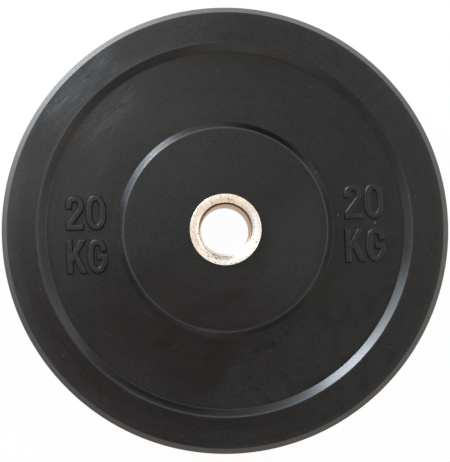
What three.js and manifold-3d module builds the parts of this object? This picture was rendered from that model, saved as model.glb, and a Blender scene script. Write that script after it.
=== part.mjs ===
// A 20 kg bumper plate for a 50 mm barbell sleeve: one thick rubber disc moulded round a steel insert.
// The insert is a bored sleeve with a hooked, drilled anchor disc at its middle and a dished collar on each end.
// The plate lies flat with its bore along +Z. The origin is on the bore's axis, halfway through the plate.
// Lengths are in millimetres.
import * as THREE from "three";
import { mergeVertices } from "three/addons/utils/BufferGeometryUtils.js";
import Module from "manifold-3d";

const wasm = await Module();
wasm.setup();

// The whole plate
const plateDiameter = 450;
const plateThickness = 83;
const boreDiameter = 50.4;

// Rubber disc: the trimmed edge, the rim, the sunk web and the hub, the same on both faces
const edgeBevelWidth = 5.6;
const edgeBevelHeight = 6.4;
const rimWidth = 31.2;
const recessDepth = 7.5;
const recessWallWidth = 7.7;
const recessLipRadius = 3.2;
const recessFootRadius = 2.4;
const hubDiameter = 205.6;
const hubWallWidth = 6;
const hubSink = 0.8;
const hubLipRadius = 2;
const hubFootRadius = 2.4;

// Steel sleeve: the tube that rides on the bar
const sleeveWall = 4.8;
const sleeveBoreChamfer = 1.2;
const sleeveEdgeChamfer = 0.6;

// Steel collars: the flanged rings that show in each hub face
const collarNeckWall = 3.1;
const collarNeckHeight = 7;
const collarFlangeWidth = 2.6;
const collarFlangeHeight = 6;
const collarEdgeRadius = 0.8;
const collarLandWidth = 4.2;
const collarMouthStep = 1.7;
const collarMouthDepth = 3;
const collarLipThickness = 1.2;

// Steel anchor disc: welded round the sleeve's middle, with a hooked rim and holes that the rubber flows through
const anchorDiameter = 124;
const anchorThickness = 5;
const anchorHookHeight = 14;
const anchorHookWidth = 4;
const anchorWeldLeg = 4;
const anchorHoleCount = 8;
const anchorHoleMargin = 5;

// Fits and cuts
const seatGap = 0.3;
const cutOverrun = 2;

// Facets
const turnFacets = 60;
const holeFacets = 16;
const filletSteps = 2;
const mouthSteps = 4;

const faceHeight = plateThickness / 2;
const plateRadius = plateDiameter / 2;
const boreRadius = boreDiameter / 2;
const sleeveRadius = boreRadius + sleeveWall;
const sleeveSeatRadius = sleeveRadius + seatGap;
const collarNeckRadius = sleeveSeatRadius + collarNeckWall;
const collarRadius = collarNeckRadius + collarFlangeWidth;
const collarMouthRadius = boreRadius + collarMouthStep;
const collarSeatHeight = faceHeight - collarMouthDepth - collarLipThickness;
const anchorWeldRadius = sleeveSeatRadius + anchorWeldLeg;
const anchorHookInside = anchorDiameter / 2 - anchorHookWidth;
const anchorHoleCircleRadius = (anchorWeldRadius + anchorHookInside) / 2;
const anchorHoleRadius = (anchorHookInside - anchorWeldRadius) / 2 - anchorHoleMargin;

const rubber = new THREE.MeshStandardMaterial({ color: 0x2f2f2f, roughness: 0.55, metalness: 0 });
const steel = new THREE.MeshStandardMaterial({ color: 0xd8ccb8, roughness: 0.3, metalness: 1 });

// An outline's corner is [radius from the axis, height], or [radius, height, fillet radius] where it is rounded.
// A round is the arc between the two points where its circle touches the corner's sides.
function roundCorner(before, corner, after) {
  const here = new THREE.Vector2(corner[0], corner[1]);
  const fillet = corner[2];
  if (!fillet) return [here];
  const back = new THREE.Vector2(before[0], before[1]).sub(here).normalize();
  const ahead = new THREE.Vector2(after[0], after[1]).sub(here).normalize();
  const halfAngle = Math.acos(THREE.MathUtils.clamp(back.dot(ahead), -1, 1)) / 2;
  const middle = back.clone().add(ahead).normalize();
  const centre = here.clone().addScaledVector(middle, fillet / Math.sin(halfAngle));
  const start = here.clone().addScaledVector(back, fillet / Math.tan(halfAngle)).sub(centre);
  const end = here.clone().addScaledVector(ahead, fillet / Math.tan(halfAngle)).sub(centre);
  const sweep = Math.atan2(start.cross(end), start.dot(end));
  return Array.from({ length: filletSteps + 1 }, (_, step) =>
    start.clone().rotateAround(new THREE.Vector2(), (sweep * step) / filletSteps).add(centre),
  );
}

function outlineOf(corners) {
  const count = corners.length;
  return corners.flatMap((corner, i) =>
    roundCorner(corners[(i + count - 1) % count], corner, corners[(i + 1) % count]),
  );
}

// The same corners on the plate's other face, in the order that closes the outline.
function mirrored(corners) {
  return corners.map(([radius, height, fillet]) => [radius, -height, fillet]).reverse();
}

// Turns a closed outline about the bore's axis. The outline runs anticlockwise, with the axis on its left.
function turned(corners) {
  const outline = outlineOf(corners);
  return new THREE.LatheGeometry([...outline, outline[0].clone()], turnFacets).rotateX(Math.PI / 2);
}

function solidOf(geometry) {
  const bare = geometry.clone();
  bare.deleteAttribute("normal");
  bare.deleteAttribute("uv");
  const merged = mergeVertices(bare);
  return new wasm.Manifold(
    new wasm.Mesh({
      numProp: 3,
      vertProperties: merged.attributes.position.array,
      triVerts: new Uint32Array(merged.index.array),
    }),
  );
}

function geometryOf(solid) {
  const { vertProperties, triVerts } = solid.getMesh();
  const geometry = new THREE.BufferGeometry();
  geometry.setAttribute("position", new THREE.BufferAttribute(new Float32Array(vertProperties), 3));
  geometry.setIndex(new THREE.BufferAttribute(new Uint32Array(triVerts), 1));
  geometry.computeVertexNormals();
  return geometry;
}

// One upright round bar for each hole in the anchor disc. The holes lie halfway between its weld and its hook.
function barsThroughAnchor(barRadius, barHeight) {
  return Array.from({ length: anchorHoleCount }, (_, i) => {
    const bar = new THREE.CylinderGeometry(barRadius, barRadius, barHeight, holeFacets);
    bar.rotateX(Math.PI / 2);
    bar.translate(anchorHoleCircleRadius, 0, 0);
    return solidOf(bar.rotateZ((2 * Math.PI * i) / anchorHoleCount));
  });
}

// The collar's outside below its edge, grown by a clearance for the rubber's pocket.
function collarOutside(clearance) {
  const flangeFoot = faceHeight - collarFlangeHeight - clearance;
  return [
    [collarRadius + clearance, flangeFoot],
    [collarNeckRadius + clearance, flangeFoot],
    [collarNeckRadius + clearance, flangeFoot - collarNeckHeight],
  ];
}

// The anchor disc's upper outside from its hooked rim in to its weld, grown by a clearance for the rubber's pocket.
function anchorOutside(clearance) {
  const discLevel = anchorThickness / 2 + clearance;
  const hookLevel = anchorHookHeight / 2 + clearance;
  return [
    [anchorDiameter / 2 + clearance, hookLevel],
    [anchorHookInside - clearance, hookLevel],
    [anchorHookInside - clearance, discLevel],
    [anchorWeldRadius + clearance, discLevel],
    [sleeveSeatRadius, discLevel + anchorWeldLeg + clearance],
  ];
}

// The rubber disc's face from the edge bevel in to the collar's pocket.
function discFace() {
  const recessMouth = plateRadius - edgeBevelWidth - rimWidth;
  const webHeight = faceHeight - recessDepth;
  const hubRadius = hubDiameter / 2;
  return [
    [plateRadius, faceHeight - edgeBevelHeight],
    [plateRadius - edgeBevelWidth, faceHeight],
    [recessMouth, faceHeight, recessLipRadius],
    [recessMouth - recessWallWidth, webHeight, recessFootRadius],
    [hubRadius + hubWallWidth, webHeight, hubFootRadius],
    [hubRadius, faceHeight - hubSink, hubLipRadius],
    [collarRadius + seatGap, faceHeight - hubSink],
  ];
}

// The disc is turned with both collar pockets, then hollowed for the anchor disc. Rubber plugs stay in the hollow,
// one through each of the anchor disc's holes, so the two halves of the disc are one moulding.
function rubberDisc() {
  const collarPocket = collarOutside(seatGap);
  const pocketFloor = collarPocket[collarPocket.length - 1][1];
  const upper = [...discFace(), ...collarPocket, [sleeveSeatRadius, pocketFloor]];
  const blank = solidOf(turned([...upper, ...mirrored(upper)]));
  const anchorPocket = anchorOutside(seatGap);
  const pocketTop = anchorPocket[anchorPocket.length - 1][1];
  const hollow = [...anchorPocket, [sleeveSeatRadius - cutOverrun, pocketTop]];
  const plugHeight = anchorHookHeight + 2 * seatGap + cutOverrun;
  const hollowRoundPlugs = barsThroughAnchor(anchorHoleRadius - seatGap, plugHeight).reduce(
    (left, plug) => left.subtract(plug),
    solidOf(turned([...hollow, ...mirrored(hollow)])),
  );
  return geometryOf(blank.subtract(hollowRoundPlugs));
}

// The sleeve ends just under the collars' lips.
function hubSleeve() {
  const endHeight = collarSeatHeight - seatGap;
  const upper = [
    [sleeveRadius, endHeight - sleeveEdgeChamfer],
    [sleeveRadius - sleeveEdgeChamfer, endHeight],
    [boreRadius + sleeveBoreChamfer, endHeight],
    [boreRadius, endHeight - sleeveBoreChamfer],
  ];
  return turned([...upper, ...mirrored(upper)]);
}

function anchorDisc() {
  const upper = anchorOutside(0);
  const blank = solidOf(turned([...upper, ...mirrored(upper)]));
  const holes = barsThroughAnchor(anchorHoleRadius, anchorThickness + cutOverrun);
  return geometryOf(holes.reduce((left, hole) => left.subtract(hole), blank));
}

// The collar's face is a flat land that rolls over into the bore on a quarter of an ellipse.
function collar() {
  const landRadius = collarRadius - collarEdgeRadius - collarLandWidth;
  const mouthWidth = landRadius - collarMouthRadius;
  const mouthFloor = faceHeight - collarMouthDepth;
  const mouth = Array.from({ length: mouthSteps + 1 }, (_, step) => {
    const turn = (Math.PI * step) / (2 * mouthSteps);
    return [landRadius - mouthWidth * Math.sin(turn), mouthFloor + collarMouthDepth * Math.cos(turn)];
  });
  const outside = collarOutside(0);
  const footHeight = outside[outside.length - 1][1];
  return turned([
    ...mouth,
    [collarMouthRadius, collarSeatHeight],
    [sleeveSeatRadius, collarSeatHeight],
    [sleeveSeatRadius, footHeight],
    ...outside.reverse(),
    [collarRadius, faceHeight, collarEdgeRadius],
  ]);
}

function piece(name, geometry, material) {
  const mesh = new THREE.Mesh(geometry, material);
  mesh.name = name;
  return mesh;
}

const plate = new THREE.Group();
plate.add(piece("rubber_disc", rubberDisc(), rubber));
plate.add(piece("hub_sleeve", hubSleeve(), steel));
plate.add(piece("anchor_disc", anchorDisc(), steel));
plate.add(piece("front_collar", collar(), steel));
const rearCollar = piece("rear_collar", collar(), steel);
rearCollar.rotation.x = Math.PI;
plate.add(rearCollar);

export default plate;
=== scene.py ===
# A 20 kg bumper plate, lying flat on a pale studio floor and seen almost straight from above.
# Everything is in metres, with the bore along +Z and the top of the lettering towards +Y.
import math

import bpy
import numpy as np
from mathutils import Matrix, Vector


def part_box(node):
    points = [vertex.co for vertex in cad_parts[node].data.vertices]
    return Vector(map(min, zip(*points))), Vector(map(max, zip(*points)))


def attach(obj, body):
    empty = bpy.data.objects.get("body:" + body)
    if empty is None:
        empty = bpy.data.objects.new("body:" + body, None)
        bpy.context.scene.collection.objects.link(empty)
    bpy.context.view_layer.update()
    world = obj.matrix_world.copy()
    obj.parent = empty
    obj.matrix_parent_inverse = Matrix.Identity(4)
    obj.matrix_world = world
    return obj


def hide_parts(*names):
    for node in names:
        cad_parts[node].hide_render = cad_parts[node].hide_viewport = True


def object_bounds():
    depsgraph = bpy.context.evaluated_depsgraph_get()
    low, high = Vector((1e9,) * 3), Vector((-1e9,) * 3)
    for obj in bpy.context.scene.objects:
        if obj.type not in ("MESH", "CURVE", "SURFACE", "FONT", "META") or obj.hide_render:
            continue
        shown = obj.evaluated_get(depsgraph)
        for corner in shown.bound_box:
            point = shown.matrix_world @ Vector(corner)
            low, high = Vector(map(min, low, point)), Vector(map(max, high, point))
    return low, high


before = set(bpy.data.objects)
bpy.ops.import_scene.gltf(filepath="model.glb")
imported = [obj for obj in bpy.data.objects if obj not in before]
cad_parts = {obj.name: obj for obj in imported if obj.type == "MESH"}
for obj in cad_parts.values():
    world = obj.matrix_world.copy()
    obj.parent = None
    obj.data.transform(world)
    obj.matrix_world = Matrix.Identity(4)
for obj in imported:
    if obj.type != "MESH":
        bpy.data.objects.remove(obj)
cad_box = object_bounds()
scene = bpy.context.scene
mm = 0.001

# Camera
# It stands 1.8 m from the plate, a little off the bore's axis, and leans with the lettering.
# Its place and lens make the plate's circles fall where the photograph has them.
camera_place = Vector((-37.4, -72.2, 1798.2)) * mm
camera_aim = Vector((-0.7, -1.6, 41.5)) * mm
lettering_lean = math.radians(2.42)
picture_angle = math.radians(15.02)

camera = bpy.data.objects.new("camera", bpy.data.cameras.new("camera"))
camera.data.sensor_fit = "VERTICAL"
camera.data.angle_y = picture_angle
camera.data.clip_start = 0.1
sight = (camera_aim - camera_place).normalized()
picture_up = Vector((math.sin(lettering_lean), math.cos(lettering_lean), 0))
picture_right = sight.cross(picture_up).normalized()
turn = Matrix((picture_right, picture_right.cross(sight), -sight)).transposed()
camera.matrix_world = Matrix.Translation(camera_place) @ turn.to_4x4()
scene.collection.objects.link(camera)
scene.camera = camera

# Rubber disc
# One thick disc of black rubber, pressed and cured in a two-part mould round the steel insert.
# Both faces have a bevelled edge, a flat rim, a sunk web with sloping walls and a raised hub.
face_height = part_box("rubber_disc")[1].z
plate_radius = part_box("rubber_disc")[1].x
collar_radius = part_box("front_collar")[1].x
collar_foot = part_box("front_collar")[0].z
sleeve_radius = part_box("hub_sleeve")[1].x
seat_gap = 0.3 * mm
parting_depth = 0.25 * mm
parting_half_width = 0.7 * mm
parting_corner_round = 0.4 * mm
edge_bevel_width = 5.6 * mm
edge_bevel_height = 6.4 * mm
tread_corner_round = 0.8 * mm
edge_corner_round = 0.8 * mm
rim_width = 31.2 * mm
recess_depth = 7.5 * mm
recess_wall_width = 7.7 * mm
recess_lip_round = 1.3 * mm
recess_foot_round = 1.0 * mm
hub_radius = 102.6 * mm
hub_wall_width = 6.4 * mm
hub_sink = 1.4 * mm
hub_lip_round = 1.9 * mm
hub_foot_round = 1.0 * mm
pocket_lip_round = 0.5 * mm
collar_flange_height = 6 * mm
collar_neck_radius = sleeve_radius + 3.4 * mm
web_height = face_height - recess_depth
hub_height = face_height - hub_sink
edge_radius = plate_radius - edge_bevel_width
recess_mouth = edge_radius - rim_width
recess_foot = recess_mouth - recess_wall_width
hub_foot = hub_radius + hub_wall_width


def rounded_outline(corners, steps=6, margin=0.25 * mm):
    """A closed outline whose corners are (radius from the axis, height, round).
    A round is the arc that touches both sides of its corner: its centre lies on the bisector,
    round / sin(half angle) from the corner. A point on each side of it, a margin away,
    keeps the flats beside it flat when they are shaded."""
    points = []
    for before, here, after in zip(corners[-1:] + corners[:-1], corners, corners[1:] + corners[:1]):
        corner = np.array(here[:2])
        if not here[2]:
            points.append(corner[None])
            continue
        back = np.array(before[:2]) - corner
        ahead = np.array(after[:2]) - corner
        back /= np.linalg.norm(back)
        ahead /= np.linalg.norm(ahead)
        half = math.acos(np.clip(back @ ahead, -1, 1)) / 2
        middle = (back + ahead) / np.linalg.norm(back + ahead)
        centre = corner + middle * here[2] / math.sin(half)
        reach = here[2] / math.tan(half)
        start = corner + back * reach - centre
        end = corner + ahead * reach - centre
        sweep = math.atan2(start[0] * end[1] - start[1] * end[0], start @ end)
        turns = sweep * np.linspace(0, 1, steps + 1)[:, None]
        quarter_turned = np.array([-start[1], start[0]])
        arc = centre + np.cos(turns) * start + np.sin(turns) * quarter_turned
        points += [arc[:1] + back * margin, arc, arc[-1:] + ahead * margin]
    return np.concatenate(points)


def both_faces(corners):
    """The corners of the front face, followed by the same on the rear face in reverse."""
    return corners + [(radius, -height, corner_round) for radius, height, corner_round in reversed(corners)]


def turned_mesh(name, outline, segments=512):
    """Turns a closed outline about the bore's axis: vertex (i, j) is the outline's point i
    at angle j, at (radius cos angle, radius sin angle, height). Faces join neighbours."""
    angles = np.linspace(0, 2 * np.pi, segments, endpoint=False)
    radius, height = outline[:, :1], outline[:, 1:]
    grid = np.stack(np.broadcast_arrays(radius * np.cos(angles), radius * np.sin(angles), height), -1)
    index = np.arange(len(outline) * segments).reshape(len(outline), segments)
    next_ring = np.roll(index, -1, 0)
    faces = np.stack([index, np.roll(index, -1, 1), np.roll(next_ring, -1, 1), next_ring], -1)
    mesh = bpy.data.meshes.new(name)
    mesh.from_pydata(grid.reshape(-1, 3), [], faces.reshape(-1, 4)[:, ::-1].tolist())
    mesh.shade_smooth()
    piece = bpy.data.objects.new(name, mesh)
    scene.collection.objects.link(piece)
    return piece


class Value:
    """One socket of a material, so that shader maths is written as an expression on values."""

    def __init__(self, tree, socket):
        self.tree = tree
        self.socket = socket

    def node(self, kind, settings, sockets, output=0):
        """Adds a node of any kind, with its settings first and then its sockets' values or links."""
        made = self.tree.nodes.new(kind)
        for name, setting in settings.items():
            setattr(made, name, setting)
        for name, given in sockets.items():
            if isinstance(given, Value):
                self.tree.links.new(given.socket, made.inputs[name])
            else:
                made.inputs[name].default_value = given
        return Value(self.tree, made.outputs[output])

    def maths(self, operation, first, second=0.0):
        return self.node("ShaderNodeMath", {"operation": operation}, {0: first, 1: second})

    def __add__(self, other):
        return self.maths("ADD", self, other)

    def __radd__(self, other):
        return self.maths("ADD", other, self)

    def __sub__(self, other):
        return self.maths("SUBTRACT", self, other)

    def __rsub__(self, other):
        return self.maths("SUBTRACT", other, self)

    def __mul__(self, other):
        return self.maths("MULTIPLY", self, other)

    def __rmul__(self, other):
        return self.maths("MULTIPLY", other, self)

    def __truediv__(self, other):
        return self.maths("DIVIDE", self, other)

    def absolute(self):
        return self.maths("ABSOLUTE", self)

    def at_least(self, lowest):
        """The greater of this value and the lowest that it may be."""
        return self.maths("MAXIMUM", self, lowest)

    def step(self, low, high):
        """Rises smoothly from 0 at low to 1 at high, or falls from 1 to 0 where high is the lower."""
        settings = {"interpolation_type": "SMOOTHSTEP"}
        if low < high:
            return self.node("ShaderNodeMapRange", settings, {0: self, 1: low, 2: high, 3: 0.0, 4: 1.0})
        return self.node("ShaderNodeMapRange", settings, {0: self, 1: high, 2: low, 3: 1.0, 4: 0.0})

    def near(self, level, reach):
        """Is 1 where this value is at the level and falls smoothly to 0 a reach away on both sides."""
        return (self - level).absolute().step(reach, 0.0)

    def noise(self, scale, detail=2.0, roughness=0.5):
        """Cloudy noise between 0 and 1 at this place, with scale in lumps to the metre, detail in finer
        layers of lumps, and roughness as each layer's strength beside the one before it."""
        sockets = {"Vector": self, "Scale": scale, "Detail": detail, "Roughness": roughness}
        return self.node("ShaderNodeTexNoise", {}, sockets)

    def points(self, scale):
        """Scattered points, with scale in points to the metre: how far this place is from the nearest,
        as a share of the space between them, and that point's own shade between 0 and 1."""
        away = self.node("ShaderNodeTexVoronoi", {}, {"Vector": self, "Scale": scale})
        shade = Value(self.tree, away.socket.node.outputs["Color"]).part(0)
        return away, shade

    def mix(self, first, second):
        """The first colour where this mask is 0 and the second where it is 1."""
        settings = {"data_type": "RGBA", "clamp_factor": True}
        return self.node("ShaderNodeMix", settings, {0: self, 6: first, 7: second}, 2)

    def vector(self, operation, second=(0, 0, 0), output=0):
        return self.node("ShaderNodeVectorMath", {"operation": operation}, {0: self, 1: second}, output)

    def part(self, axis):
        """One coordinate of a place, or one channel of a colour, as 0, 1 or 2."""
        return self.node("ShaderNodeSeparateXYZ", {}, {"Vector": self}, axis)

    def distance(self, point):
        return self.vector("DISTANCE", point, 1)

    def scaled(self, amount):
        """This colour times an amount."""
        return self.node("ShaderNodeVectorMath", {"operation": "SCALE"}, {0: self, 3: amount})

    def flat(self):
        """This place moved straight up or down to the plate's middle plane."""
        return self.vector("MULTIPLY", (1, 1, 0))

    def from_axis(self):
        """How far this place is from the bore's axis."""
        return self.flat().vector("LENGTH", output=1)

    def facing(self, azimuth, reach):
        """Is 1 in a direction from the bore, in degrees anticlockwise from +X, and falls smoothly to 0
        a reach in degrees away on both sides."""
        direction = (math.cos(math.radians(azimuth)), math.sin(math.radians(azimuth)), 0)
        likeness = self.flat().vector("NORMALIZE").vector("DOT_PRODUCT", direction, 1)
        return likeness.step(math.cos(math.radians(reach)), 1.0)

    def patch(self, x, y, angle, half_length, half_width):
        """Is 1 at a spot (x, y) and falls smoothly to 0 at the edge of an oval round it, whose length
        runs at an angle in degrees from +X. The spot and the oval are in millimetres."""
        turn = math.radians(angle)
        lengthways = (math.cos(turn) / (half_length * mm), math.sin(turn) / (half_length * mm), 0)
        sideways = (-math.sin(turn) / (half_width * mm), math.cos(turn) / (half_width * mm), 0)
        offset = self.vector("SUBTRACT", (x * mm, y * mm, 0))
        along = offset.vector("DOT_PRODUCT", lengthways, 1)
        across = offset.vector("DOT_PRODUCT", sideways, 1)
        return (along * along + across * across).step(1.0, 0.0)

    def patches(self, rows):
        """The sum of several patches, each given as its strength and then as the patch is."""
        total = 0.0
        for strength, *spot_and_oval in rows:
            total = total + strength * self.patch(*spot_and_oval)
        return total


def new_finish(name, **constants):
    """A material whose Principled shader has these constants, with its tree and Object coordinates."""
    material = bpy.data.materials.new(name)
    material.use_nodes = True
    tree = material.node_tree
    shader = tree.nodes["Principled BSDF"]
    for socket, constant in constants.items():
        shader.inputs[socket.replace("_", " ")].default_value = constant
    place = Value(tree, tree.nodes.new("ShaderNodeTexCoord").outputs["Object"])
    return material, shader, place


def wire(shader, **values):
    """Links values to the shader's sockets, whose names have a space for each underscore."""
    for socket, value in values.items():
        value.tree.links.new(value.socket, shader.inputs[socket.replace("_", " ")])


def lay_over(material, shader, share, second):
    """Lays a second shader over a material's own by a share between 0 and 1."""
    tree = material.node_tree
    own = Value(tree, shader.outputs[0])
    both = own.node("ShaderNodeMixShader", {}, {0: share, 1: own, 2: second})
    tree.links.new(both.socket, tree.nodes["Material Output"].inputs["Surface"])


def swirl(place, lumps_around, lumps_across):
    """A place to read noise at, stretched round the bore: the direction from the axis times the
    lumps to the radian, with the way down the profile times the lumps to the metre as its height.
    Noise read there makes marks that run round the plate."""
    around = place.flat().vector("NORMALIZE")
    down = place.from_axis() - place.part(2).absolute()
    across = place.node("ShaderNodeCombineXYZ", {}, {"Z": down * lumps_across})
    return around.vector("MULTIPLY", (lumps_around,) * 3).vector("ADD", across)


def straight_strokes(place, angle, length, width):
    """Noise stretched along an angle in degrees from +X, so that its lumps are straight strokes of
    about this length and width: the way along is divided by the length and the way across by the width."""
    turn = math.radians(angle)
    along = place.vector("DOT_PRODUCT", (math.cos(turn), math.sin(turn), 0), 1)
    across = place.vector("DOT_PRODUCT", (-math.sin(turn), math.cos(turn), 0), 1)
    laid = place.node("ShaderNodeCombineXYZ", {}, {"X": along / length, "Y": across / width})
    return laid.noise(1.0, 4.0, 0.7)


def hairline(place, centre, bend, middle, reach, half_width=0.16):
    """A fine curved scratch on the front rim: the part of a circle of radius bend about a centre that
    lies within reach of the scratch's middle. All of them are in millimetres."""
    circle_centre = (centre[0] * mm, centre[1] * mm, face_height)
    scratch_middle = (middle[0] * mm, middle[1] * mm, face_height)
    circle = place.distance(circle_centre).near(bend * mm, half_width * mm)
    return circle * place.distance(scratch_middle).step(reach * mm, 0.6 * reach * mm)


rubber, rubber_shader, place = new_finish("moulded_rubber", Specular_IOR_Level=0.2)
radius = place.from_axis()
height = place.part(2).absolute()
relief = place.node("ShaderNodeAttribute", {"attribute_name": "relief"}, {}, 2)
# The lettering carries a painted shade along its foot, read here.
letter_foot_shade = place.node("ShaderNodeAttribute", {"attribute_name": "letter_foot_shade"}, {}, 2)

# The parts of the moulding, each as a mask that is 1 on the part.
bevel_foot = face_height - edge_bevel_height
on_web = radius.step(recess_foot, recess_foot - 2 * mm) * radius.step(hub_foot, hub_foot + 1 * mm)
on_rim = radius.step(recess_mouth, recess_mouth + 1.5 * mm)
on_hub = radius.step(hub_foot, hub_radius)
on_bevel = radius.step(edge_radius - 0.1 * mm, edge_radius + 0.4 * mm)
on_bevel = on_bevel * height.step(bevel_foot - 0.4 * mm, bevel_foot + 0.2 * mm)
on_tread = radius.step(plate_radius - 1.2 * mm, plate_radius - 0.6 * mm)
on_tread = on_tread * height.step(bevel_foot + 0.4 * mm, bevel_foot - 0.2 * mm)

# Grain, mottle and clouds lie all over it. Smears and marks of wiping run round the plate.
grain = place.noise(900.0, 2.0, 0.75)
mottle = place.noise(230.0, 3.0, 0.65)
clouds = place.noise(11.0, 4.0, 0.65)
smears = swirl(place, 1.6, 55.0).noise(1.0, 4.0, 0.65)
wiping = swirl(place, 3.0, 330.0).noise(1.0, 3.0, 0.65)

# They make the black lighter and darker, least of all on the right. The lower right has dark blotches.
worn_side = 0.45 + 0.7 * place.facing(190, 170)
outer_part = 0.55 + 0.45 * radius.step(hub_radius, hub_foot)
marks = 1.2 * (mottle - 0.5) + 0.8 * (wiping - 0.5) + 1.1 * (smears - 0.5)
grain_share = (3.3 + 2.9 * on_hub) * (1.15 - 0.3 * place.facing(345, 60))
lower_right = place.facing(304, 52)
blotches = lower_right * place.noise(48.0, 4.0, 0.65).step(0.45, 0.68)
lightness = 1.0 + grain_share * (grain - 0.5) + worn_side * (outer_part * marks + 1.8 * (clouds - 0.5))
lightness = lightness - 0.4 * place.patch(141, -86, 60, 15, 10) - 0.35 * blotches
lightness = lightness.at_least(0.05)

# The black goes from a greenish to a maroon tone, in clouds and towards the lower left.
# The lower-left part ends at a border that wanders across the lower web.
rubber_black = (0.0122, 0.0123, 0.0118, 1)
rubber_maroon = (0.0121, 0.0099, 0.0094, 1)
border_start = 86 * mm
border_lean = 0.65
border_sway = 60 * mm
lower_left = place.facing(247, 62)
wander = border_sway * (place.noise(24.0, 4.0, 0.6) - 0.5)
past_border = place.part(0) - border_lean * place.part(1) - border_start + wander
beyond_border = past_border.step(20 * mm, -16 * mm)
maroon = 1.1 * lower_left * (0.3 + 0.7 * beyond_border) * (1.0 - 0.6 * on_hub)
maroon = maroon + 0.6 * place.noise(21.0, 3.0, 0.6).step(0.48, 0.75)
maroon = maroon - 0.7 * place.patch(48, -140, 20, 75, 48)
black = maroon.mix(rubber_black, rubber_maroon)

# It is darker in smears on the lower web and hub, and on the rim's inner half.
rim_line = 201 * mm
web_fade = (185 * mm, 120 * mm)
hub_fade = (40 * mm, 90 * mm)
left_rim_fade = (213 * mm, 203 * mm)
darker_web = on_web * (0.25 + 0.75 * beyond_border) * radius.step(*web_fade)
darker_hub = 0.85 * radius.step(*hub_fade) * radius.step(hub_radius, hub_radius - 1 * mm)
darker_rim = on_rim * (0.30 + 0.50 * radius.step(rim_line + 2 * mm, rim_line - 1.5 * mm))
dark_areas = lower_left * (darker_web + darker_hub) * (0.4 + 1.1 * smears.step(0.35, 0.65))
dark_areas = dark_areas + place.facing(254, 52) * darker_rim
dark_areas = dark_areas + 0.65 * on_rim * place.facing(195, 48) * radius.step(*left_rim_fade)
dark_areas = dark_areas + 0.3 * on_web * blotches + 0.35 * lower_right * on_hub * smears.step(0.45, 0.7)
dark_areas = dark_areas + 0.6 * beyond_border * place.patch(-26, -138, 10, 44, 34)
dark_areas = dark_areas + place.patches((
    (0.4, -62, -98, 25, 50, 24),
    (0.1, 124, -88, 35, 40, 18),
    (0.2, 20, -140, 10, 50, 30),
))

# Drips have dried to dark spots on the web: many small ones, and some larger ones low down.
small_spots = place.noise(17.0, 2.0).step(0.5, 0.62) * on_web * (0.2 + 0.8 * place.facing(285, 45))
small_spots = small_spots + place.patches(((1.4, 42, -114, 25, 44, 16), (1.2, 34, -84, 22, 38, 14)))
small_spots = small_spots * swirl(place, 24.0, 170.0).noise(1.0, 2.0, 0.5).step(0.64, 0.72)
large_spots = place.patches((
    (0.5, 36.0, -120.0, 15, 4.0, 2.2),
    (1.0, 56.4, -106.5, 0, 2.64, 2.2),
    (1.0, 50.8, -114.0, 0, 1.87, 1.65),
    (1.0, 44.2, -117.0, -25, 5.5, 3.52),
    (1.0, 26.5, -123.6, 10, 5.28, 2.97),
    (1.0, 17.5, -148.7, 0, 3.3, 2.2),
    (1.0, 45.0, -157.0, 20, 2.86, 1.65),
    (1.0, 26.0, -160.5, 10, 2.86, 1.65),
    (1.0, -16.0, -113.5, -8, 20.9, 2.2),
    (1.0, -53.8, -120.2, 0, 3.74, 2.86),
    (1.0, -64.5, -110.5, 20, 14.3, 8.8),
    (1.0, -22.5, -129.8, 40, 9.9, 6.6),
    (1.0, -50.7, -145.5, 0, 4.4, 2.2),
))

# A painted shade line darkens the foot of both walls, with a second one beside it at the left.
dark_and_shade_black = (0.0054, 0.0031, 0.0026, 1)
wall_foot_shade = radius.near(recess_foot - 0.9 * mm, 1.4 * mm) + 0.6 * radius.near(hub_foot + 0.5 * mm, 1.0 * mm)
wall_foot_shade = wall_foot_shade + 0.8 * place.facing(158, 45) * radius.near(recess_foot - 2.2 * mm, 1.1 * mm)
darkened = dark_areas + 0.75 * small_spots + 0.6 * large_spots + 0.7 * wall_foot_shade
black = darkened.mix(black, dark_and_shade_black).scaled(lightness)

# The upper left is scuffed in straight strokes that lie in bands, most of all near the rim's outer edge
# and on the web next to the wall. Their bluish grey is mostly a painted sheen of the light from the upper
# left.
fine_strokes = straight_strokes(place, 47, 20 * mm, 1.2 * mm).step(0.44, 0.66)
cross_strokes = straight_strokes(place, 36, 24 * mm, 1.4 * mm).step(0.44, 0.66)
strokes = 0.65 * fine_strokes + 0.35 * cross_strokes
stroke_bands = straight_strokes(place, 42, 75 * mm, 13 * mm).step(0.2, 0.8)
rubbing = 0.07 + 0.18 * stroke_bands + strokes * (0.29 + 0.38 * stroke_bands) + 0.4 * (mottle - 0.5)
outer_rim_middle = 211 * mm
web_scuff_middle = 168 * mm
rim_scuffs_and_sheen = 0.55 * place.facing(134, 32) + 0.3 * place.facing(128, 58) + 0.14 * place.facing(48, 36)
rim_scuffs_and_sheen = rim_scuffs_and_sheen + place.patches((
    (0.7, -148, 141, 52, 50, 20),
    (0.35, -118, 178, 36, 24, 9),
    (-0.8, -84, 190, 24, 40, 19),
    (-0.8, -182, 96, 62, 36, 20),
    (-0.4, -205, -4, 88, 30, 12),
))
rim_scuffs_and_sheen = on_rim * rim_scuffs_and_sheen.at_least(0.0)
rim_scuffs_and_sheen = rim_scuffs_and_sheen * (0.72 + 0.7 * stroke_bands * radius.near(outer_rim_middle, 9 * mm))
web_scuffs_and_sheen = 0.75 * place.facing(132, 32) * radius.near(web_scuff_middle, 40 * mm)
web_scuffs_and_sheen = web_scuffs_and_sheen + place.patches((
    (1.2, -118, 124, 40, 50, 26),
    (-0.6, -58, 145, 30, 24, 16),
    (-0.6, -140, 70, 60, 26, 12),
))
web_scuffs_and_sheen = 0.72 * on_web * web_scuffs_and_sheen.at_least(0.0)
scuffs_and_sheen = (rim_scuffs_and_sheen + web_scuffs_and_sheen) * rubbing
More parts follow.
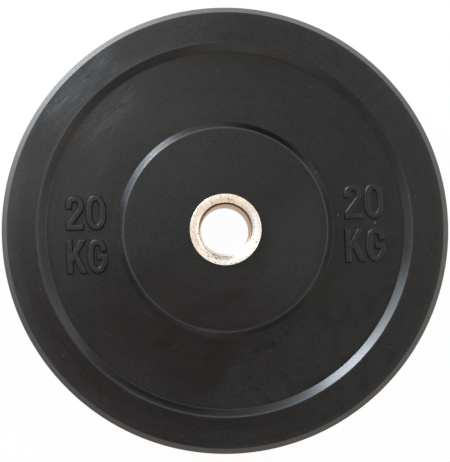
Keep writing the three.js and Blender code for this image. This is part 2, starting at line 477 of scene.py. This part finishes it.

# The left of the rim and a spot low on the web are rubbed a little. The hub has a painted sheen at the
# right and the upper left, and a painted haze of sheen lies over the upper left.
hub_middle = radius.step(36 * mm, 55 * mm) * radius.step(hub_radius, hub_radius - 12 * mm)
hub_sheen = 0.07 * place.facing(348, 50) * hub_middle + 0.05 * place.facing(145, 60) * on_hub
left_scuff = 0.06 * on_rim * place.facing(185, 50) * radius.step(203 * mm, 216 * mm)
upper_left_sheen = 0.05 * place.facing(137, 60) * radius.step(60 * mm, 200 * mm) * (on_web + on_rim)
scuffs_and_sheen = scuffs_and_sheen + hub_sheen * (0.6 + 0.8 * mottle) + left_scuff + upper_left_sheen
scuffs_and_sheen = scuffs_and_sheen + 0.05 * place.patch(1.5, -144, 60, 12, 9) * (0.5 + mottle)

# Wiping has left fine pale lines that run round the rim, the lower web and the hub.
fine_wiping = swirl(place, 3.0, 620.0).noise(1.0, 3.0, 0.7).step(0.45, 0.75) - 0.3
wiped_rim = 0.12 * place.facing(246, 50) + 0.10 * place.facing(88, 34) + 0.10 * place.facing(190, 52)
wiped_web = 0.08 * on_web * place.facing(240, 55)
wiped_hub = 0.03 * on_hub * place.facing(175, 85)
scuffs_and_sheen = scuffs_and_sheen + (on_rim * wiped_rim + wiped_web + wiped_hub) * fine_wiping
scuffs_and_sheen = scuffs_and_sheen + 0.05 * place.facing(262, 36) * radius.near(rim_line - 0.2 * mm, 0.8 * mm)

# The tread is worn in streaks that run round it instead.
tread_wear = 0.14 * smears.step(0.4, 0.7) * (0.4 + mottle)
scuffs_and_sheen = scuffs_and_sheen * (1.0 - on_tread) + on_tread * tread_wear

# Edges are rubbed grey: the recess lip, the hub's edge, the edge bevel, the wall's foot and the lettering.
# The grey on the lips, the hub's edge, the wall's foot, the hub's wall at the lower left and the lettering's
# shoulders is mostly painted highlight.
hub_wall_middle = hub_radius + hub_wall_width / 2
lip_highlight = radius.near(recess_mouth + 0.9 * mm, 2.0 * mm)
lip_highlight = lip_highlight * (0.15 + 0.85 * place.facing(165, 105) + 0.5 * place.facing(180, 32))
inner_lip_highlight = 1.4 * radius.near(recess_mouth - 0.4 * mm, 1.4 * mm) * place.facing(300, 95)
hub_edge_highlight = 1.3 - 0.5 * place.facing(0, 40) + 0.9 * place.facing(242, 45)
hub_edge_highlight = hub_edge_highlight * radius.near(hub_radius + 0.2 * mm, 1.7 * mm)
bevel_line = radius.near(edge_radius, 0.8 * mm)
rim_edge = radius.step(edge_radius - 7 * mm, edge_radius) * height.step(face_height - 1 * mm, face_height)
edge_wear_and_highlights = (lip_highlight + inner_lip_highlight + hub_edge_highlight + bevel_line) * (0.08 + 0.34 * smears)
edge_wear_and_highlights = edge_wear_and_highlights + 0.14 * rim_edge * clouds
low_foot = place.facing(254, 36) * radius.near(recess_foot - 0.2 * mm, 1.1 * mm)
foot_highlight = 0.45 * place.facing(156, 50) * radius.near(recess_foot, 0.9 * mm) + 0.16 * low_foot
hub_wall_light = 0.2 * place.facing(240, 34) * radius.near(hub_wall_middle, 3.8 * mm)
shoulders = relief.step(0.45, 0.8) * relief.step(1.0, 0.96)
shoulder_highlight = 0.14 - 0.07 * place.part(0).step(-1 * mm, 1 * mm)
mark_wear_and_highlights = shoulder_highlight * shoulders + 0.025 * relief.step(0.75, 1.0)
wear_and_sheen_grey = (0.085, 0.090, 0.098, 1)
wear_and_highlights = edge_wear_and_highlights + scuffs_and_sheen + foot_highlight + hub_wall_light + mark_wear_and_highlights

# The recess wall is painted brown at the upper left, a painted reflection of warm light from below. Painted
# shade darkens its lower left and thinly its left and top, and the hub's wall at the upper right.
reflected_wall_brown = (0.021, 0.014, 0.011, 1)
painted_shade_black = (0.0012, 0.0010, 0.0010, 1)
recess_wall_middle = (recess_mouth + recess_foot) / 2
low_on_recess_wall = recess_foot + 2.5 * mm
reflected_brown = 0.7 * place.facing(115, 34) * radius.near(recess_wall_middle, 4.5 * mm)
on_hub_wall = radius.step(hub_radius + 0.2 * mm, hub_radius + 1.4 * mm)
on_hub_wall = on_hub_wall * radius.step(hub_foot + 0.2 * mm, hub_foot - 0.8 * mm)
hub_wall_shade = (place.facing(64, 26) + 0.35 * place.facing(354, 30)) * on_hub_wall
recess_wall_shade = 0.95 * place.facing(246, 22) + 0.15 * place.facing(262, 36)
recess_wall_shade = recess_wall_shade + 0.25 * place.facing(165, 35) + 0.14 * place.facing(88, 28)
recess_wall_shade = recess_wall_shade * radius.near(low_on_recess_wall, 5 * mm)
wall_shade = (hub_wall_shade + recess_wall_shade) * (1.0 - low_foot)
black = reflected_brown.mix(black, reflected_wall_brown)
colour = (wear_and_highlights * (0.4 + 1.2 * grain)).mix(black, wear_and_sheen_grey)
colour = wall_shade.mix(colour, painted_shade_black)

# The moulding flash is trimmed off the edge bevel, which leaves it paler with fine lines round it.
# Its paleness is painted stronger at the bottom and weaker at the left and top, as painted light.
trimmed_grey = (0.082, 0.074, 0.067, 1)
trimming = swirl(place, 1.5, 900.0).noise(1.0, 2.0, 0.6)
trimmed_and_lit = 1.0 - 0.48 * place.facing(174, 50) - 0.2 * place.facing(88, 50) + 0.58 * place.facing(256, 52)
trimmed_and_lit = on_bevel * (0.44 + 0.84 * trimming) * trimmed_and_lit
colour = trimmed_and_lit.mix(colour, trimmed_grey)

# Specks of dust, short pale nicks, and a few hairline scratches where plates have been stacked.
dust_grey = (0.30, 0.28, 0.25, 1)
from_speck, speck_shade = place.points(75.0)
specks = 0.6 * (0.06 * speck_shade.step(0.75, 1.0) - from_speck).step(0.0, 0.02)
specks = specks + place.patches((0.9, x, y, 0, half_size, half_size) for x, y, half_size in (
    (114.3, 10.0, 1.0), (151.2, 0.9, 1.4), (151.4, -38.2, 0.9), (-121.0, -20.4, 0.9),
    (-162.1, -5.5, 0.6), (192.4, 25.6, 0.6), (186.1, 26.0, 0.7), (169.9, -12.1, 0.5),
    (-58.8, -190.1, 0.5), (-12.4, -157.6, 0.45), (13.7, -160.0, 0.45), (-72.5, -181.8, 0.45),
    (-15.6, -203.2, 0.45), (2.7, -211.5, 0.5), (-51.9, -204.1, 0.45),
))
specks = specks + place.patches((
    (0.25, -168, 45, 15, 5, 0.5),
    (0.25, -172, 30, 95, 3, 0.5),
    (0.25, -188, -28, 110, 4, 0.5),
    (0.25, -188, -51, 100, 4, 0.5),
    (0.25, -168, -120, 60, 4, 0.5),
))
specks = specks * (1.0 - on_tread)
scratches = hairline(place, (270.6, 13.0), 79.5, (201.0, -24.0), 16)
scratches = scratches + hairline(place, (318.0, 80.0), 160.0, (208.0, -36.0), 9)
scratches = scratches + 0.5 * hairline(place, (330.0, -20.0), 122.0, (208.5, -17.0), 9)
colour = (0.5 * specks + 0.14 * scratches).mix(colour, dust_grey)

# Trimmed and scuffed rubber is duller, and so are the tread and the lettering's flanks.
flanks = relief.step(0.0, 0.1) * relief.step(1.0, 0.97)
roughness = 0.20 + 0.06 * clouds + 0.03 * wiping + 0.2 * on_bevel + 0.1 * scuffs_and_sheen
roughness = roughness + 0.03 * (1.0 - on_web - on_rim) + 0.1 * flanks + 0.15 * on_tread
bumps = 0.4 * grain + wiping * (0.3 + scuffs_and_sheen) + on_bevel * trimming + 2.0 * specks
rubber_bump = place.node("ShaderNodeBump", {}, {"Strength": 0.1, "Distance": 0.25 * mm, "Height": bumps})
wire(rubber_shader, Base_Color=colour, Roughness=roughness, Normal=rubber_bump)

# Dull black dirt has dried in the larger spots, and a dull black sheet lies along the lettering's foot as
# painted shade.
dirt_and_shade = place.node("ShaderNodeBsdfPrincipled", {}, {
    "Base Color": (0.0015, 0.0012, 0.0012, 1),
    "Roughness": 0.9,
    "Specular IOR Level": 0.02,
})
lay_over(rubber, rubber_shader, 0.9 * letter_foot_shade + 0.13 * large_spots, dirt_and_shade)

rubber_face = [
    (plate_radius - parting_depth, 0.0, 0.0),
    (plate_radius, parting_half_width, parting_corner_round),
    (plate_radius, face_height - edge_bevel_height, tread_corner_round),
    (edge_radius, face_height, edge_corner_round),
    (recess_mouth, face_height, recess_lip_round),
    (recess_foot, web_height, recess_foot_round),
    (hub_foot, web_height, hub_foot_round),
    (hub_radius, hub_height, hub_lip_round),
    (collar_radius + seat_gap, hub_height, pocket_lip_round),
    (collar_radius + seat_gap, face_height - collar_flange_height - seat_gap, 0.0),
    (collar_neck_radius, face_height - collar_flange_height - seat_gap, 0.0),
    (collar_neck_radius, collar_foot - seat_gap, 0.0),
    (sleeve_radius + seat_gap, collar_foot - seat_gap, 0.0),
]
rubber_disc = turned_mesh("moulded_rubber_disc", rounded_outline(both_faces(rubber_face)[1:]))
rubber_disc.data.materials.append(rubber)
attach(rubber_disc, "root")
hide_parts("rubber_disc")

# Weight marks
# The weight stands up from the web twice on each face, as the number over its unit.
# The strokes are part of the rubber moulding, flat on top with soft edges.
mark_distance = 140.3 * mm
mark_unit_top = -4.4 * mm
mark_unit_foot = -38.0 * mm
stroke_half_width = 2.68 * mm
stroke_relief = 2.0 * mm
stroke_edge = 1.6 * mm
stroke_foot = 0.5 * mm
mark_fillet = 0.7 * mm
mark_fillet_height = 0.10 * mm
mark_skirt = 0.02 * mm
mark_root = 0.8 * mm
mark_pitch = 0.26 * mm
mark_half_size = (21 * mm, 40.4 * mm)
# How far the lettering's painted foot shade is weighted to its lower sides.
mark_shade_lean = 0.7


def bar_distance(x, y, start, end, half_width, corner=0.7 * mm):
    """The distance outside a straight stroke with square ends and slightly rounded corners:
    the distance to a rectangle shrunk by the corner's radius, less that radius."""
    middle = (np.array(start) + np.array(end)) / 2
    along = np.array(end) - np.array(start)
    long = np.linalg.norm(along)
    along /= long
    u = np.abs((x - middle[0]) * along[0] + (y - middle[1]) * along[1]) - long / 2 + corner
    v = np.abs((y - middle[1]) * along[0] - (x - middle[0]) * along[1]) - half_width + corner
    outside = np.hypot(np.maximum(u, 0), np.maximum(v, 0))
    return outside + np.minimum(np.maximum(u, v), 0) - corner


def bend_distance(x, y, route, half_width):
    """The distance outside a stroke that follows a route: the least distance to any of the
    route's straight runs, less half the stroke's width."""
    start, end = route[:-1], route[1:]
    along = end - start
    offset_x = x[..., None] - start[:, 0]
    offset_y = y[..., None] - start[:, 1]
    share = (offset_x * along[:, 0] + offset_y * along[:, 1]) / (along**2).sum(1)
    share = np.clip(share, 0, 1)
    away = np.hypot(offset_x - share * along[:, 0], offset_y - share * along[:, 1])
    return away.min(-1) - half_width


def oval(centre, half_size, first, last, squareness=2.4, steps=40):
    """Points on a squared oval between two angles in degrees, anticlockwise from +X:
    each coordinate is the sine or cosine's size to the power 2 / squareness, with its sign."""
    turns = np.radians(np.linspace(first, last, steps))
    across, up = np.cos(turns), np.sin(turns)
    power = 2 / squareness
    x = centre[0] + half_size[0] * np.sign(across) * np.abs(across) ** power
    y = centre[1] + half_size[1] * np.sign(up) * np.abs(up) ** power
    return np.stack([x, y], -1)


def mark_outline(x, y):
    """The distance outside the number and unit, whose strokes are laid out round their middle."""
    w = stroke_half_width
    two_bowl = oval((-10.4 * mm, 29.8 * mm), (6.1 * mm, 7.1 * mm), 180, -32, 2.2)
    two = np.concatenate([two_bowl, [(-16.2 * mm, 11.6 * mm), (-16.6 * mm, 8.5 * mm)]])
    zero = oval((10.6 * mm, 22.5 * mm), (7.1 * mm, 14.6 * mm), 0, 360, 2.3, 80)
    gee = np.concatenate([
        oval((10.7 * mm, -21.5 * mm), (7.0 * mm, 14.1 * mm), 34, 325, 2.3, 70),
        [(17.7 * mm, -28.0 * mm), (17.7 * mm, -22.4 * mm)],
    ])
    kay = np.minimum.reduce([
        bar_distance(x, y, (-17.4 * mm, 0.0), (-17.4 * mm, -42.0 * mm), w),
        bar_distance(x, y, (-17.3 * mm, -26.2 * mm), (-1.4 * mm, -1.0 * mm), w),
        bar_distance(x, y, (-12.3 * mm, -17.8 * mm), (-1.6 * mm, -41.4 * mm), w),
    ])
    strokes = [
        bar_distance(x, y, (-16.5 * mm, 27.2 * mm), (-16.5 * mm, 30.2 * mm), w),
        bend_distance(x, y, two, w),
        bar_distance(x, y, (-19.3 * mm, 8.5 * mm), (-2.4 * mm, 8.5 * mm), w),
        bend_distance(x, y, zero, w),
        np.maximum.reduce([kay, y - mark_unit_top, mark_unit_foot - y]),
        bend_distance(x, y, gee, w),
        bar_distance(x, y, (16.4 * mm, -13.0 * mm), (17.3 * mm, -16.5 * mm), w),
        bar_distance(x, y, (10.6 * mm, -22.4 * mm), (17.7 * mm, -22.4 * mm), w),
    ]
    return np.minimum.reduce(strokes)


def raised_mark(name, side, facing):
    """A relief on a square grid. Its height above the web follows the distance d inside the strokes'
    foot, relief * (1 - (1 - d / (edge + foot))^3), so the flanks are steep and their tops round. Round
    the foot lies a low fillet that thins out as the square of the distance, and past it the surface
    drops below the web. Cells farther away are left out, and a flat base and walls below the web close
    the rest. The share of the full height is kept on the mesh as "relief", and a painted shade along the
    foot is kept beside it, thickest on the left marks and on the sides that face the hub or the lettering's
    foot."""
    xs = np.arange(-mark_half_size[0], mark_half_size[0], mark_pitch)
    ys = np.arange(-mark_half_size[1], mark_half_size[1], mark_pitch)
    x, y = np.meshgrid(xs, ys, indexing="ij")
    outside = mark_outline(x, y) - stroke_foot
    inside = np.clip(-outside / (stroke_edge + stroke_foot), 0, 1)
    share = 1 - (1 - inside) ** 3
    beside = np.clip(outside / mark_fillet, 0, 1)
    fillet = mark_fillet_height * (1 - beside) ** 2 + mark_skirt
    sunk = np.clip((outside - mark_fillet) * 2, 0, mark_root / 2)
    top = web_height + np.maximum(stroke_relief * share, fillet) - sunk
    slope_x, slope_y = np.gradient(outside, mark_pitch)
    towards_hub = (-side * slope_x - mark_shade_lean * slope_y) / math.hypot(1, mark_shade_lean)
    thickness = 0.85 - 0.15 * side
    letter_foot_shade = np.clip(1.5 - 1.5 * np.abs(outside + 0.1 * mm) / mark_fillet, 0, 1)
    letter_foot_shade *= np.clip(0.45 + 0.65 * towards_hub, 0.1, 1) * thickness
    base = np.full_like(top, web_height - mark_root)
    solid = outside < mark_fillet + 1.5 * mark_pitch
    cells = solid[:-1, :-1] & solid[1:, :-1] & solid[1:, 1:] & solid[:-1, 1:]
    index = np.arange(x.size).reshape(x.shape)
    corners = np.stack([index[:-1, :-1], index[1:, :-1], index[1:, 1:], index[:-1, 1:]], -1)
    walls = []
    padded = np.pad(cells, 1)
    neighbours = (padded[1:-1, :-2], padded[2:, 1:-1], padded[1:-1, 2:], padded[:-2, 1:-1])
    for edge, neighbour in enumerate(neighbours):
        bare = corners[cells & ~neighbour]
        first, second = bare[:, edge], bare[:, (edge + 1) % 4]
        walls.append(np.stack([second, first, first + x.size, second + x.size], -1))
    faces = np.concatenate([corners[cells], corners[cells][:, ::-1] + x.size] + walls)
    used, faces = np.unique(faces, return_inverse=True)
    points = np.concatenate([
        np.stack([x, y, top], -1).reshape(-1, 3),
        np.stack([x, y, base], -1).reshape(-1, 3),
    ])[used]
    points[:, 0] += side * mark_distance
    points *= (facing, 1, facing)
    mesh = bpy.data.meshes.new(name)
    mesh.from_pydata(points, [], faces.reshape(-1, 4).tolist())
    mesh.shade_smooth()
    for kept, values in (("relief", share), ("letter_foot_shade", letter_foot_shade)):
        values = np.concatenate([values.ravel(), np.zeros(x.size)])[used]
        mesh.attributes.new(kept, "FLOAT", "POINT").data.foreach_set("value", values)
    mesh.materials.append(rubber)
    mark = bpy.data.objects.new(name, mesh)
    scene.collection.objects.link(mark)
    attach(mark, "root")


for face, facing in (("front", 1), ("rear", -1)):
    for hand, side in (("left", -1), ("right", 1)):
        raised_mark(f"weight_mark_{face}_{hand}", side, facing)

# Hub sleeve
# The steel tube that rides on the bar, cured into the rubber with the rest of the insert.
# It is bored to a running fit, and use has rubbed it dull and tan.
bore_radius = 25.2 * mm
sleeve_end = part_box("hub_sleeve")[1].z
bore_chamfer = 1.2 * mm
sleeve_chamfer = 0.6 * mm
bore_corner_round = 0.3 * mm
steel_segments = 256
sleeve_outline = [
    (sleeve_radius, sleeve_end - sleeve_chamfer, 0.0),
    (sleeve_radius - sleeve_chamfer, sleeve_end, 0.0),
    (bore_radius + bore_chamfer, sleeve_end, bore_corner_round),
    (bore_radius, sleeve_end - bore_chamfer, bore_corner_round),
]
sleeve_tan = (0.60, 0.42, 0.28, 1)
sleeve_brown = (0.34, 0.22, 0.14, 1)
highlight_steel = (0.84, 0.80, 0.75, 1)
shade_brown = (0.035, 0.022, 0.015, 1)
sleeve_steel, sleeve_shader, place = new_finish("sleeve_steel", Metallic=1.0)
radius = place.from_axis()
rubbing = swirl(place, 3.0, 900.0).noise(1.0, 3.0, 0.6)
stains = place.noise(140.0, 4.0, 0.65).step(0.35, 0.65)
sleeve_colour = (0.8 * rubbing * stains).mix(sleeve_tan, sleeve_brown)

# Its end shows inside the collar's mouth. It has a painted highlight on the lower left, where light falls
# in, and painted shade elsewhere.
end_highlight = radius.step(bore_radius, bore_radius + 0.3 * mm) * place.facing(238, 85)
sleeve_colour = end_highlight.mix(sleeve_colour, highlight_steel)
end_shade = 0.1 + 0.85 * place.facing(95, 145) + 0.3 * place.facing(325, 45)
end_shade = end_shade * radius.step(bore_radius + 0.1 * mm, bore_radius + 0.5 * mm)
bore_bump = place.node("ShaderNodeBump", {}, {"Strength": 0.2, "Distance": 0.1 * mm, "Height": rubbing})
wire(sleeve_shader, Base_Color=end_shade.mix(sleeve_colour, shade_brown))
wire(sleeve_shader, Roughness=0.38 + 0.2 * rubbing, Normal=bore_bump)
hub_sleeve = turned_mesh("steel_hub_sleeve", rounded_outline(both_faces(sleeve_outline)), steel_segments)
hub_sleeve.data.materials.append(sleeve_steel)
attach(hub_sleeve, "root")
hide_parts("hub_sleeve")

# Collars
# A flanged steel ring on each end of the sleeve, plated a warm white. Its face is turned flat, rolls
# over into the bore, and carries small pits, rust and rub marks.
collar_edge_round = 0.4 * mm
mouth_radius = 26.9 * mm
mouth_depth = 3 * mm
mouth_lip = 1.2 * mm
mouth_squareness = 2.7
mouth_steps = 26


def collar_profile():
    """The face, then the seat, neck and flange. The face is a quarter of a squared oval: at a share s
    of the way from the edge in to the mouth it has dropped depth * (1 - (1 - s^n)^(1 / n)), where n is
    its squareness."""
    face_edge = collar_radius - 2 * collar_edge_round
    share = np.sin(np.radians(np.linspace(4, 90, mouth_steps)))
    fallen = 1 - (1 - share**mouth_squareness) ** (1 / mouth_squareness)
    mouth_x = face_edge - (face_edge - mouth_radius) * share
    mouth_z = face_height - mouth_depth * fallen
    seat = face_height - mouth_depth - mouth_lip
    neck = collar_neck_radius - seat_gap
    flange_foot = face_height - collar_flange_height
    mouth = [(x, z, 0.0) for x, z in zip(mouth_x, mouth_z)]
    back = [
        (mouth_radius, seat, 0.0),
        (sleeve_radius + seat_gap, seat, 0.0),
        (sleeve_radius + seat_gap, collar_foot, 0.0),
        (neck, collar_foot, 0.0),
        (neck, flange_foot, 0.0),
        (collar_radius, flange_foot, 0.0),
        (collar_radius, face_height, collar_edge_round),
    ]
    return rounded_outline(mouth + back)


plated_cream = (0.76, 0.72, 0.66, 1)
plated_peach = (0.70, 0.58, 0.47, 1)
rust_brown = (0.13, 0.065, 0.04, 1)
collar_steel, collar_shader, place = new_finish("collar_steel", Metallic=1.0)
radius = place.from_axis()
turning = swirl(place, 1.2, 1500.0).noise(1.0, 2.0, 0.6)
ticks = swirl(place, 26.0, 500.0).noise(1.0, 3.0, 0.7)
dabs = place.noise(420.0, 3.0, 0.7)

# The plating is more peach at the upper left, and painted shade dims it a little in some directions round
# the ring.
peach = place.facing(130, 150) * (0.35 + 0.6 * place.noise(75.0, 3.0, 0.6).step(0.35, 0.65))
peach = peach + 0.3 * place.facing(65, 45)
shading = 1.0 - 0.16 * place.facing(245, 75) - 0.11 * place.facing(165, 60) - 0.2 * place.facing(18, 50)
shading = shading - 0.12 * place.facing(188, 60) * radius.near(29.6 * mm, 2.4 * mm)
plating = peach.mix(plated_cream, plated_peach).scaled(shading * (0.64 + 0.80 * ticks))

# Rust stands in the pits, in ticks that run round the ring and in dabs, most of all low on its inner half.
from_pit, pit_shade = place.points(430.0)
pits = (0.4 * pit_shade.step(0.66, 1.0) - from_pit).step(0.0, 0.14)
low_inside = place.facing(252, 42) * radius.step(32.5 * mm, 29.5 * mm)
low_ring = place.facing(256, 30) * radius.near(30 * mm, 2.6 * mm)
soiled = low_inside + 0.6 * place.facing(95, 30) + 0.4 * place.facing(185, 35)
rust = 0.9 * pits + 0.16 * low_inside + 0.14 * low_ring
rust = rust + (0.16 + 0.8 * soiled) * ticks.step(0.46, 0.66) + 0.4 * dabs.step(0.5, 0.7)
collar_colour = rust.mix(plating, rust_brown)

# Painted shade darkens the mouth all round but for the lower left, where light falls in. The bumps are
# turning marks, ticks and pits.
mouth_shade = 0.05 + 0.9 * place.facing(95, 145) + 0.5 * place.facing(300, 65)
mouth_shade = mouth_shade * radius.step(mouth_radius + 0.5 * mm, mouth_radius)
turned_marks = 0.5 * turning + 0.5 * ticks - pits
collar_bump = place.node("ShaderNodeBump", {}, {
    "Strength": 0.12,
    "Distance": 0.1 * mm,
    "Height": turned_marks,
})
wire(collar_shader, Base_Color=mouth_shade.mix(collar_colour, shade_brown))
wire(collar_shader, Roughness=0.3 + 0.12 * dabs + 0.2 * pits, Normal=collar_bump)
for face, facing in (("front", 1), ("rear", -1)):
    collar_ring = collar_profile() * (1, facing)
    collar = turned_mesh(f"steel_{face}_collar", collar_ring[::facing], steel_segments)
    collar.data.materials.append(collar_steel)
    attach(collar, "root")
    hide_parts(f"{face}_collar")

# Anchor disc
# A disc of hot-rolled steel with a hooked rim and holes, welded round the sleeve's middle. The rubber
# flows through its holes and locks the insert. It is out of sight, and stays as packed.
scale_dark = (0.18, 0.17, 0.16, 1)
scale_pale = (0.32, 0.31, 0.30, 1)
anchor_steel, anchor_shader, place = new_finish("anchor_steel", Metallic=1.0)
anchor_colour = place.noise(120.0).mix(scale_dark, scale_pale)
wire(anchor_shader, Base_Color=anchor_colour, Roughness=0.45 + 0.3 * place.noise(80.0))
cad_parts["anchor_disc"].material_slots[0].material = anchor_steel

# Studio
# A wide pale floor under the plate, in a white room. The camera and the plate's reflections see both as
# white, but they light the plate only a little. Soft lamps do that, most of them at the upper left.
floor_half_size = 6.0
floor_white = (0.9, 0.9, 0.9, 1)
floor_level = 0.975
floor_mesh = bpy.data.meshes.new("floor")
floor_corners = [
    (x * floor_half_size, y * floor_half_size, cad_box[0][2])
    for x, y in ((-1, -1), (1, -1), (1, 1), (-1, 1))
]
floor_mesh.from_pydata(floor_corners, [], [(0, 1, 2, 3)])
floor = bpy.data.objects.new("floor", floor_mesh)
scene.collection.objects.link(floor)
floor_finish, floor_shader, place = new_finish("pale_floor", Base_Color=floor_white, Roughness=0.9)
seen = place.node("ShaderNodeLightPath", {}, {}, "Is Camera Ray")
mirrored = place.node("ShaderNodeLightPath", {}, {}, "Is Glossy Ray")
white = place.node("ShaderNodeEmission", {}, {"Strength": 1.0})
lay_over(floor_finish, floor_shader, floor_level * seen.at_least(mirrored), white)
floor_mesh.materials.append(floor_finish)

room_white = (1.0, 0.99, 0.975, 1)
room_level = 0.12
room = bpy.data.worlds.new("studio")
room.use_nodes = True
backdrop = room.node_tree.nodes["Background"]
backdrop.inputs["Color"].default_value = room_white
light_out = Value(room.node_tree, backdrop.outputs[0])
seen = light_out.node("ShaderNodeLightPath", {}, {}, "Is Camera Ray")
for ray in ("Is Glossy Ray", "Is Transmission Ray"):
    seen = seen.at_least(light_out.node("ShaderNodeLightPath", {}, {}, ray))
strength = room_level + (1.0 - room_level) * seen
room.node_tree.links.new(strength.socket, backdrop.inputs["Strength"])
scene.world = room


def soft_light(name, azimuth, rise, distance, width, power, colour, depth=None):
    """A lamp at an azimuth and a rise above the floor, both in degrees, facing the plate. It is square
    unless it has a depth of its own."""
    lamp = bpy.data.lights.new(name, "AREA")
    lamp.shape = "RECTANGLE"
    lamp.size = width
    lamp.size_y = depth or width
    lamp.energy = power
    lamp.color = colour
    light = bpy.data.objects.new(name, lamp)
    turn = math.radians(azimuth)
    lift = math.radians(rise)
    away = Vector((math.cos(turn) * math.cos(lift), math.sin(turn) * math.cos(lift), math.sin(lift)))
    facing_plate = away.to_track_quat("Z", "Y").to_matrix().to_4x4()
    light.matrix_world = Matrix.Translation(away * distance) @ facing_plate
    light.visible_camera = False
    scene.collection.objects.link(light)


daylight = (0.82, 0.905, 1.0)
lamp_white = (1.0, 0.98, 0.95)
warm_white = (1.0, 0.79, 0.70)
strip_depth = 0.07
soft_light("window_high", 125, 13, 1.4, 0.40, 27.8, daylight)
soft_light("window_low", 135, 4, 1.4, 0.40, 23.6, daylight)
soft_light("window_left", 150, 8, 1.4, 0.45, 9.9, daylight)
soft_light("far_left", 180, 6, 1.4, 0.45, 1.0, daylight)
soft_light("window_edge", 107, 6, 1.4, 0.40, 1.2, daylight)
soft_light("overhead", 135, 70, 2.0, 0.80, 5.5, lamp_white)
soft_light("upper_right", 15, 45, 1.4, 1.40, 8.8, lamp_white)
soft_light("right_side", 0, 22, 1.4, 0.80, 3.8, lamp_white)
soft_light("right_low", 30, 8, 1.4, 0.45, 2.4, lamp_white)
soft_light("lower_right", 330, 8, 1.4, 0.45, 1.4, warm_white)
soft_light("lower_left", 250, 8, 1.4, 0.75, 2.2, warm_white)
soft_light("lower_side", 270, 22, 1.4, 0.50, 2.0, warm_white)
soft_light("floor_strip", 60, 0, 0.75, 0.40, 1.1, lamp_white, strip_depth)
soft_light("left_floor_strip", 120, 0, 0.75, 0.40, 1.2, lamp_white, strip_depth)

scene.view_settings.view_transform = "Standard"
